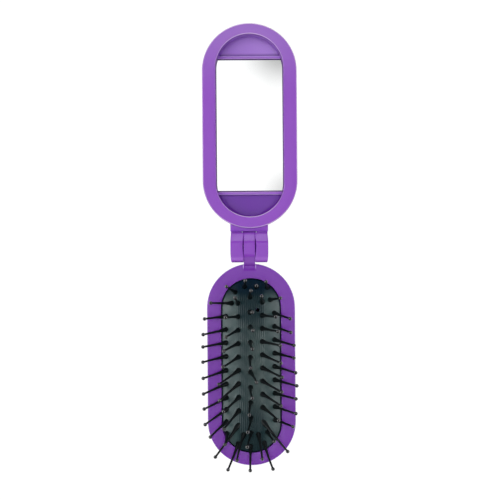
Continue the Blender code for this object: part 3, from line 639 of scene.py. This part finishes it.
foam = Finish("white_foam_tape")
foam.give("Base Color", shades(foam, 900.0, 5.0, (0.66, 0.65, 0.61), (0.84, 0.83, 0.80)))
foam.give("Roughness", 0.85)
pores = foam.node("ShaderNodeTexVoronoi", {"Scale": 2600.0, "Vector": foam.place}).outputs["Distance"]
foam.give("Normal", bumped(foam, pores, 0.0002, 0.6))
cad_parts["mirror_tape"].material_slots[0].material = foam.material


# Outer shell of the brush half: a slimmer dish in the same plastic as the mirror half, given a deeper purple
# that is painted shade. It has a block that holds the leaf's far end, a notch for the tongue's neck and a
# small window that the shoe's nose slides through.

brush_outline = brush_half_width, brush_far, brush_near = 0.0179, -0.0889335, -0.0069335
tongue_half = 0.00230
nose_half, nose_bottom, nose_top = 0.0016, 0.0024, 0.0040
anchor_half, anchor_far, anchor_near, anchor_top = 0.0022, -0.0841335, -0.0819335, 0.0026
# The brush half's deeper purple is painted shade on the mirror half's plastic; its edges get a painted
# highlight.
shaded_brush_purple = moulded_plastic("brush_half_shaded_purple", (0.202, 0.032, 0.445), (0.220, 0.036, 0.475),
                               painted_highlight=(0.34, 0.13, 0.66))

notch_half = tongue_half + seat_gap
tongue_notch = skin(bar((hinge_x - notch_half, brush_near - neck_inside - seat_gap, neck_bottom - seat_gap),
                        (hinge_x + notch_half, brush_near + cut_past, rim_top), radius=0.0002))
nose_window = skin(bar((-nose_half, brush_near - back_radius, nose_bottom - seat_gap),
                       (nose_half, brush_near + cut_past, nose_top + seat_gap), radius=0.0002))
anchor = skin(bar((-anchor_half, anchor_far, shell_wall / 2),
                  (anchor_half, anchor_near, anchor_top), radius=0.0002))
shell_mesh = joined(cut(skin(shell_rows(brush_outline)), tongue_notch, nose_window), anchor)
brush_shell = placed("brush_shell_piece", shell_mesh, shaded_brush_purple)
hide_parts("brush_back_shell")
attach(brush_shell, "brush_half")


# Front frame of the brush half: a flat rim round the rubber pad, with the hinge's middle tongue. The
# tongue's knuckle lies between the two ears and runs down onto the rim, with small hollow fillets
# along both its sides.

pad_opening = opening_half, opening_far, opening_near = 0.0122, -0.0838335, -0.0128335
lip_bottom, lip_chamfer, opening_radius = rim_top - 0.0024, 0.0001, 0.0003
frame_steps = rounding(brush_outline, 0, rim_top, edge_radius, -edge_radius, 6)
frame_steps += rounding(pad_opening, 0, rim_top, -opening_radius, -opening_radius, 6, 90, 0)
frame_steps += [(pad_opening, 0.0, lip_bottom + lip_chamfer), (pad_opening, -lip_chamfer, lip_bottom),
                (pad_opening, -frame_wall + lip_chamfer, lip_bottom),
                (pad_opening, -frame_wall, lip_bottom + lip_chamfer),
                (pad_opening, -frame_wall, rim_top - frame_wall)]
frame_steps += skirt(brush_outline)
rim_body = skin(oval_rows(*edge_path(frame_steps)), round_again=True)
brush_frame = placed("brush_frame_piece", joined(rim_body), shaded_brush_purple)
# The frame's rounded upper edges get a painted highlight.
mark_highlit_edges(brush_frame.data, seam_top)
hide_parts("brush_front_frame")
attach(brush_frame, "brush_half")

tongue_foot = 0.0080                     # how far behind the hinge axis the tongue's slope meets the rim
slope_facing, slope_distance = 128.9, 0.004866
tongue_under, tongue_round = 0.00575, 0.00615
tongue_planes = [facet, knuckle_top, (slope_facing, slope_distance), (180, tongue_foot), (270, tongue_under)]
tongue_outline = turned_outline(tongue_planes, (tongue_round, -100, 60), softness=26.0)
tongue = skin(turned_rows(tongue_outline, hinge_x - tongue_half, hinge_x + tongue_half, edge=0.0003))
run_end, run_rise = 0.0099, 0.0003       # where the tongue's last stretch ends on the rim, and its height


def run_out(y):
    """Height over the rim of the tongue's last stretch, which falls away smoothly to nothing."""
    share = np.clip((y - hinge_y + run_end) / (run_end - tongue_foot), 0, 1)
    return run_rise * share ** 2 * (3 - 2 * share) - 0.00002


end_steps = 14
end_y = np.linspace(hinge_y - run_end, hinge_y - tongue_foot + 0.001, end_steps)
end_y = np.concatenate([end_y, end_y[::-1]])
end_z = rim_top + np.concatenate([run_out(end_y[:end_steps]), np.full(end_steps, -0.001)])
last_stretch = skin([np.stack([np.full(2 * end_steps, x), end_y, end_z], axis=-1)
                     for x in (hinge_x + tongue_half, hinge_x - tongue_half)])


def fillet_rows(side, radius=0.00045, steps=7):
    """Rows along Y of a small hollow fillet: a quarter circle between the tongue's side and the rim."""
    cos, sin = arc(0, 90, steps)
    y = np.linspace(brush_near - 0.0002, hinge_y - run_end, 12)[:, None]
    slope = math.radians(slope_facing)
    above = (slope_distance - (y - hinge_y) * math.cos(slope)) / math.sin(slope) + hinge_z - rim_top
    rise = np.clip(above, np.maximum(run_out(y), 0.00001), radius)
    edge = tongue_half - 0.0001
    inside = edge - 0.0004 + 0 * y
    x = hinge_x + side * np.hstack([edge + radius * (1 - cos) + 0 * y, inside, inside])
    z = rim_top + np.hstack([rise * (1 - sin), 0 * y - 0.0003, rise])
    rows = np.stack([x, y + 0 * x, z], axis=-1)
    return rows[:, ::-side]


# The tongue belongs to the frame's moulding. Its colour is painted light and shade: the knuckle's purple is
# painted paler down its slope, then deepens to the rim's painted deeper shade.
tongue_purple = moulded_plastic("tongue_purple", *mirror_shades, painted_highlight=(0.72, 0.46, 1.00), painted_tints=(
    ((0.370, 0.130, 0.660), 1.0, ("Y", -0.0034, -0.0050)),
    ((0.211, 0.034, 0.460), 1.0, ("Y", -0.0060, -0.0080)),
))
fillets = [skin(fillet_rows(side)) for side in (-1, 1)]
tongue_piece = placed("tongue_piece", joined(tongue, last_stretch, *fillets), tongue_purple)
# The fillets get a painted highlight where they leave the tongue's sides, less and less over their last
# millimetre.
x, y, z = readings(tongue_piece.data.vertices, "co").T
highlight_width, highlight_end, highlight_fade = 0.0003, -0.0093, 0.0010
keep_painted_highlight(tongue_piece.data, np.clip((np.abs(x - hinge_x) - tongue_half) / highlight_width, 0, 0.8)
          * np.clip((y - highlight_end) / highlight_fade, 0, 1))
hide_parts("brush_front_frame")
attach(tongue_piece, "brush_half")


# Hinge pin: drawn steel wire pressed through the tongue and both ears, with slightly domed ends that
# stand a touch proud of the ears.

pin_radius, pin_proud = 0.0012, 0.00012
dome_height, dome_inset = 0.0003, 0.0005
reach = ear_outer - ear_barrel + pin_proud
x, inset = rounded_ends(-reach, reach, dome_height, dome_inset, steps=6)
turn = np.linspace(0, 2 * np.pi, 40, endpoint=False)
pin_rows = np.stack([hinge_x + x + 0 * turn, hinge_y + (pin_radius - inset) * np.cos(turn),
                     hinge_z + (pin_radius - inset) * np.sin(turn)], axis=-1)

steel = Finish("drawn_steel")
steel.give("Metallic", 1.0)
drawn = steel.node("ShaderNodeMapping", {"Scale": (0.06, 1.0, 1.0), "Vector": steel.place}).outputs[0]
steel.give("Base Color", shades(steel, 1800.0, 4.0, (0.46, 0.47, 0.49), (0.64, 0.65, 0.67), drawn))
steel.give("Roughness", noise_range(steel, 2500.0, 4.0, 0.18, 0.42, drawn))

hinge_pin = placed("hinge_pin_piece", skin(pin_rows), steel)
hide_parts("hinge_pin")
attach(hinge_pin, "brush_half")


# Rubber pad: one soft moulded sheet in grey-green rubber, held by its hem under the frame. It is pushed
# up into a long dome with a flat back of fine ridges, swells a little where each pin goes through, and
# has one small vent.

hem_top, pad_rise, pad_thickness, hem_reach, hem_edge = 0.0139, 0.0056, 0.0010, 0.0019, 0.0001
edge_top, dome_power, seat_power = 0.0157, 2.1, 1.75
roll_start = 0.955                       # the share of the half width from which the pad rolls down
swell_height, swell_reach = 0.00022, 0.0011
column_gap, columns_centre = 0.00493, -0.0004
vent_x, vent_y, vent_radius = 0.0027, -0.0257, 0.0008


def millimetres(*values):
    """Lengths given in millimetres, as an array in metres."""
    return np.array(values) / 1000


def column(across, first, gap, aside, along):
    """A column of pins, one a row: the foot's X and Y, at even steps along Y, and the tip's offset."""
    y = first - gap * np.arange(len(aside))
    return np.stack([across + 0 * y, y, aside, along], axis=1)


# Every pin was pushed through by hand and leans its own way, so each has its own offset.
centre = column(
    columns_centre, -0.0204, 0.00612,
    millimetres(0.5, 0.9, 1.1, 0.9, 0.2, 2.4, 0.7, -0.6, -1.4, -1.6),
    millimetres(2.9, 0.3, -0.9, -2.3, -3.8, -3.4, -3.6, -4.2, -5.0, -4.8))
inner_left = column(
    columns_centre - column_gap, -0.0229, 0.00546,
    millimetres(-1.1, -5.2, -5.0, -6.0, -6.4, -8.2, -7.9, -6.3, -6.2, -9.2),
    millimetres(2.6, 0.1, -2.4, -2.6, -3.6, -5.2, -6.3, -5.1, -6.8, -12.2))
inner_right = column(
    columns_centre + column_gap, -0.0225, 0.00535,
    millimetres(-0.3, 5.6, 6.5, 7.4, 7.6, 8.1, 7.9, 7.5, 6.4, 9.5),
    millimetres(2.8, -0.3, -0.9, -1.2, -3.0, -3.4, -4.0, -4.2, -4.6, -11.4))
outer_left = column(
    columns_centre - 2 * column_gap, -0.0229, 0.00536,
    millimetres(-8.7, -8.9, -9.6, -9.7, -9.75, -9.7, -9.6, -9.4, -9.0, -6.8),
    millimetres(0.4, -0.7, -1.7, -1.3, -1.9, -2.8, -3.6, -4.1, -5.6, -5.6))
outer_right = column(
    columns_centre + 2 * column_gap, -0.0216, 0.00543,
    millimetres(4.2, 6.6, 6.8, 8.1, 8.0, 8.7, 9.2, 8.8, 8.7, 7.4),
    millimetres(0.9, -2.1, -2.2, -2.0, -1.6, -2.2, -2.0, -1.8, -2.3, -2.1))
# Some pins stand a little off their column's even steps: first and last ones, as the opening's round ends
# ask, and five on the outer left.
inner_left[9, :2] += millimetres(-0.8, -1.3)
inner_right[9, :2] += millimetres(0.8, -1.3)
outer_left[0, 0] += 0.0024
outer_left[4:9, 1] -= millimetres(0.2, 0.5, 0.7, 0.9, 0.4)
outer_right[0, 0] -= 0.0017
far_pins = np.stack([millimetres(-0.6, -5.6, 5.0, -3.3, 2.6, -10.1, 6.25),
                     millimetres(-81.0, -80.0, -79.8, -76.3, -76.3, -75.9, -75.3),
                     millimetres(-0.2, -4.4, 3.6, -2.9, 1.5, -0.8, 2.8),
                     millimetres(-9.5, -10.3, -10.3, -9.9, -9.4, -3.6, -2.9)], axis=1)
near_pins = np.stack([millimetres(-2.5, 2.2, -6.4, 6.7), millimetres(-16.3, -16.3, -18.4, -16.6),
                      millimetres(0.3, 0.1, -3.5, -0.6), millimetres(2.8, 0.6, 2.6, 2.6)], axis=1)
all_feet = np.vstack([centre, inner_left, inner_right, outer_left, outer_right, far_pins, near_pins])[:, :2]


def side_share(x, y):
    """Distance to the opening's middle line, as a share of its half width."""
    middle = np.clip(y, opening_far + opening_half, opening_near - opening_half)
    return np.minimum(np.hypot(x, y - middle) / opening_half, 1.0)


def dome_top(x, y):
    """Height of the raised pad.

    It falls off from the crown with a power of the share, and rolls down to the hem in its last part.
    """
    share = side_share(x, y)
    roll = np.clip((share - roll_start) / (1 - roll_start), 0, 1)
    crown = (hem_top + pad_rise - edge_top) * (1 - share ** dome_power)
    return edge_top + crown - (edge_top - hem_top) * roll ** 2


def pin_base(x, y):
    """Height at which the pins' heads are held: lower than the rubber's top towards the pad's sides."""
    return hem_top + pad_rise * (1 - side_share(x, y) ** seat_power)


def swelling(x, y):
    """The small mound of rubber round each pin: a bell curve of the distance to the nearest foot."""
    away = np.hypot(x[..., None] - all_feet[:, 0], y[..., None] - all_feet[:, 1]).min(axis=-1)
    return swell_height * np.exp(-(away / swell_reach) ** 2)


# The pad is a stack of ovals: out along its underside, round the hem, and back over its top.
pad_arc_steps, pad_side_steps = 36, 110
shares = np.concatenate([np.linspace(0, 0.94, 27), np.linspace(roll_start, 1, 6)])
reach = opening_half * shares
under = oval_rows(reach, opening_far + opening_half - reach, opening_near - opening_half + reach, 0.0,
                  pad_arc_steps, pad_side_steps)
over = under[::-1].copy()
under[..., 2] = dome_top(under[..., 0], under[..., 1]) - pad_thickness
over[..., 2] = dome_top(over[..., 0], over[..., 1]) + swelling(over[..., 0], over[..., 1])
hem_steps = [(pad_opening, -hem_reach + hem_edge, hem_top - pad_thickness),
             (pad_opening, -hem_reach, hem_top - pad_thickness / 2),
             (pad_opening, -hem_reach + hem_edge, hem_top)]
hem = oval_rows(*edge_path(hem_steps), pad_arc_steps, pad_side_steps)
# A small round vent beside the middle column lets the air under the rubber in and out.
cos, sin = arc(0, 345, 24)
vent = skin([np.stack([vent_x + vent_radius * cos, vent_y + vent_radius * sin, height + 0 * cos], axis=-1)
             for height in (hem_top, hem_top + 2 * pad_rise)])
pad_mesh = joined(cut(skin(np.concatenate([under, hem, over])), vent))

# The rubber's flanks are a plain grey green. Its ridged back has painted shade towards both ends and on the
# left, and by the hinge the whole pad has painted shade and is dullest.
rubber = Finish("grey_green_rubber")
axes = rubber.axes()
x, y = axes["X"], axes["Y"]
across = rubber.maths("ABSOLUTE", x)
flank = rubber.ramp(across, 0.0042, 0.0068)
back = rubber.maths("SUBTRACT", 1.0, flank)
# Painted shade on the ridged back: towards both ends and on the left.
painted_shade_ends = rubber.ramp(y, -0.0400, -0.0265, 0.0, 0.90), rubber.ramp(y, -0.0590, -0.0700, 0.0, 0.75)
painted_shade = rubber.maths("MAXIMUM", rubber.maths("MAXIMUM", *painted_shade_ends), rubber.ramp(x, 0.0008, -0.0022, 0.0, 0.5))
back_colour = shades(rubber, 320.0, 5.0, (0.030, 0.062, 0.062), (0.044, 0.078, 0.077))
flank_colour = shades(rubber, 320.0, 5.0, (0.028, 0.062, 0.064), (0.042, 0.084, 0.086))
colour = mixed(rubber, flank, mixed(rubber, painted_shade, back_colour, (0.005, 0.021, 0.028)), flank_colour)
# Painted shade over the whole pad by the hinge.
colour = mixed(rubber, rubber.ramp(y, -0.0215, -0.0165, 0.0, 0.9), colour, (0.002, 0.014, 0.031))
rubber.give("Base Color", colour)
dull_end = rubber.ramp(y, -0.0235, -0.0165, 0.5, 0.2)
dull_back = rubber.ramp(rubber.maths("MULTIPLY", painted_shade, back), 0.0, 1.0, 1.0, 0.4)
rubber.give("Specular IOR Level", rubber.maths("MULTIPLY", dull_end, dull_back))
rubber.give("Roughness", rubber.maths("ADD", noise_range(rubber, 300.0, 3.0, 0.34, 0.42),
                                      rubber.ramp(across, 0.0055, 0.0085, 0.0, 0.08)))
ridges = rubber.node("ShaderNodeTexWave", {"Scale": 390.0, "Distortion": 0.4, "Detail Scale": 2.0,
                                           "Vector": rubber.place}, bands_direction="X").outputs["Fac"]
ridged = bumped(rubber, rubber.maths("MULTIPLY", ridges, back), 0.00015, 0.6)
rubber.give("Normal", bumped(rubber, noise_range(rubber, 1400.0, 3.0, 0.0, 1.0), 0.00004, 0.5, ridged))

pad = placed("rubber_pad_piece", pad_mesh, rubber, sharp=60)
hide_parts("pad_border")
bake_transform(pad)


# Pins: about sixty black plastic pins, each with a tapering collar at its foot, a thin springy shaft and
# a polished ball tip. Their heads sit under the rubber, which grips them by the collar.

pin_length, ball_radius, shaft_radius, collar_radius = 0.0161, 0.00076, 0.00046, 0.00104
pin_sides = 18
collar_start, collar_length, collar_swell = 0.0003, 0.0080, 1.05
thin_share, thin_height = 0.92, 0.75     # how thin the shaft gets under the ball, and how far up
middle_root, side_root = 0.0013, 0.0019  # the leaf runs close under the middle column
most_bow = 0.0012


def pins_mesh(pins, bow, root_depth):
    """Turned pins, from where they leave the rubber to their tips.

    Rings of the profile's radius stand round a line that bows sideways by the square of the height.
    The profile is a root, a collar that tapers in a hollow curve, a shaft, and a ball.
    """
    feet, leans = pins[:, :2], pins[:, 2:]
    rise = np.sqrt(pin_length ** 2 - np.sum(leans ** 2, axis=1))
    top = np.column_stack([feet + leans, pin_base(feet[:, 0], feet[:, 1]) + rise])
    base = np.column_stack([feet, dome_top(feet[:, 0], feet[:, 1])])
    length = np.linalg.norm(top - base, axis=1)[:, None]
    axis = (top - base) / length
    taper = np.linspace(0.0, 1.0, 11) ** 1.4
    ball_turn = np.radians(np.linspace(-58, 82, 11))
    hollow = 0.45 * (1 - taper) ** 6 + 0.55 * (1 - taper) ** 1.8
    collar = shaft_radius + (collar_radius - shaft_radius) * hollow
    radii = np.concatenate([[collar_radius, collar_radius * collar_swell], collar,
                            [shaft_radius * thin_share], ball_radius * np.cos(ball_turn)])
    low = np.concatenate([[-root_depth, 0.0], collar_start + collar_length * taper])
    ball = length - ball_radius + ball_radius * np.sin(ball_turn)
    heights = np.hstack([low + 0 * length, length * thin_height, ball])
    side = np.cross(axis, np.array([0.0, 1.0, 0.0]))
    side /= np.linalg.norm(side, axis=1, keepdims=True)
    other = np.cross(axis, side)
    share = np.clip(heights / length, 0, None)
    sweep = (share ** 2 - share)[..., None] * bow[:, None, None] * side[:, None, :]
    line = base[:, None, :] + heights[..., None] * axis[:, None, :] + sweep
    turn = np.linspace(0, 2 * np.pi, pin_sides, endpoint=False)
    ring = np.cos(turn)[None, :, None] * side[:, None, :] + np.sin(turn)[None, :, None] * other[:, None, :]
    points = line[:, :, None, :] + radii[None, :, None, None] * ring[:, None, :, :]
    meshes = [skin(pin) for pin in points]
    first_of_ball = (len(radii) - len(ball_turn)) * pin_sides
    for mesh in meshes:
        on_ball = np.arange(len(mesh.polygons)) >= first_of_ball
        mesh.polygons.foreach_set("material_index", on_ball.astype(np.int32))
    return joined(*meshes)


pin_black = moulded_plastic("satin_black_plastic", (0.002, 0.004, 0.005), (0.006, 0.009, 0.010),
                            rough=(0.30, 0.42), grain=0.000004)
ball_black = moulded_plastic("polished_black_plastic", (0.002, 0.004, 0.005), (0.005, 0.008, 0.009),
                             rough=(0.05, 0.08), grain=0.000002)
pin_black.give("IOR", 1.33)
ball_black.give("IOR", 1.9)

# Each group stands on one slice of the pad. The first pin of each inner column stands on the middle of the
# pad and that of the right-hand outer column on the inner slice, because they are nearly upright.
middle_group = np.vstack([centre, inner_left[:1], inner_right[:1]])
inner_right_group = np.vstack([inner_right[1:], outer_right[:1]])
groups = (
    ("centre_column", middle_group, "middle_pins", "centre_pin_strip"),
    ("inner_left_column", inner_left[1:], "inner_left_pins", "inner_left_pin_strip"),
    ("inner_right_column", inner_right_group, "inner_right_pins", "inner_right_pin_strip"),
    ("outer_left_column", outer_left, "outer_left_pins", "outer_left_pin_strip"),
    ("outer_right_column", outer_right[1:], "outer_right_pins", "outer_right_pin_strip"),
    ("far_fan", far_pins, "far_pins", "far_pin_fan"),
    ("near_fan", near_pins, "near_pins", "near_pin_fan"),
)
# As the brush folds, the sinking rubber also draws these pins together. The table gives the joint, the
# direction, the place that stays, and the share that is left of the distance to it; this script reads only
# its keys, and gives those groups a mesh of their own.
drawn_in = {
    "inner_left_column": ("inner_left_flatten", (-0.75, -0.66, 0), (-0.0025, -0.047, 0), 0.88),
    "inner_right_column": ("inner_right_flatten", (0.75, -0.66, 0), (0.0025, -0.047, 0), 0.88),
    "outer_right_column": ("outer_right_flatten", (0, 1, 0), (0, -0.047, 0), 0.93),
    "far_fan": ("far_fan_flatten", (0, 1, 0), (0, -0.0745, 0), 0.76),
    "near_fan": ("near_fan_flatten", (1, 0, 0), (0, -0.0202, 0), 0.85),
}
chance = np.random.default_rng(11)
for name, group, body, node in groups:
    bow = chance.uniform(-most_bow, most_bow, len(group))
    root = middle_root if body == "middle_pins" else side_root
    pins = placed(name, pins_mesh(group, bow, root), pin_black, sharp=50)
    pins.data.materials.append(ball_black.material)
    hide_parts(node)
    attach(pins, body)
    if name in drawn_in:
        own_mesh(pins)


# Bow leaf: a thin strip of spring steel under the pad. The shoe pushes its hinge end, so that it bows up
# and lifts the middle of the pad; when the brush folds it relaxes towards the floor of the shell.

leaf_near, leaf_far, leaf_half, leaf_thickness = -0.020834, -0.081634, 0.0022, 0.0007
leaf_end, leaf_run, leaf_crown = 0.0019, 0.0110, 0.01755
leaf_y = np.linspace(leaf_far, leaf_near, 60)[:, None]
ends = np.clip(np.minimum(leaf_y - leaf_far, leaf_near - leaf_y) / leaf_run, 0, 1)
leaf_top = leaf_end + leaf_thickness + (leaf_crown - leaf_end - leaf_thickness) * ends ** 2 * (3 - 2 * ends)
corner = np.array([[1, 0.1], [1, 0.9], [0.93, 1], [-0.93, 1], [-1, 0.9], [-1, 0.1], [-0.93, 0], [0.93, 0]])
leaf_rows = np.stack([leaf_half * corner[:, 0] + 0 * leaf_y, leaf_y + 0 * corner[:, 0],
                      leaf_top - leaf_thickness * (1 - corner[:, 1])], axis=-1)
bow_leaf = placed("bow_leaf_piece", skin(leaf_rows[::-1]), steel)
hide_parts("bow_leaf")
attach(bow_leaf, "brush_half")
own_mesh(bow_leaf)


# Clamp ring and push shoe: plain inner mouldings in a darker purple. The ring presses the pad's hem up
# against the frame, and the shoe slides on the shell's floor between the mirror half's heel and the leaf.

inner_purple = moulded_plastic("inner_dark_purple", (0.150, 0.045, 0.300), (0.190, 0.060, 0.360),
                               rough=(0.34, 0.50))
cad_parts["pad_clamp_ring"].material_slots[0].material = inner_purple.material
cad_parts["push_shoe"].material_slots[0].material = inner_purple.material
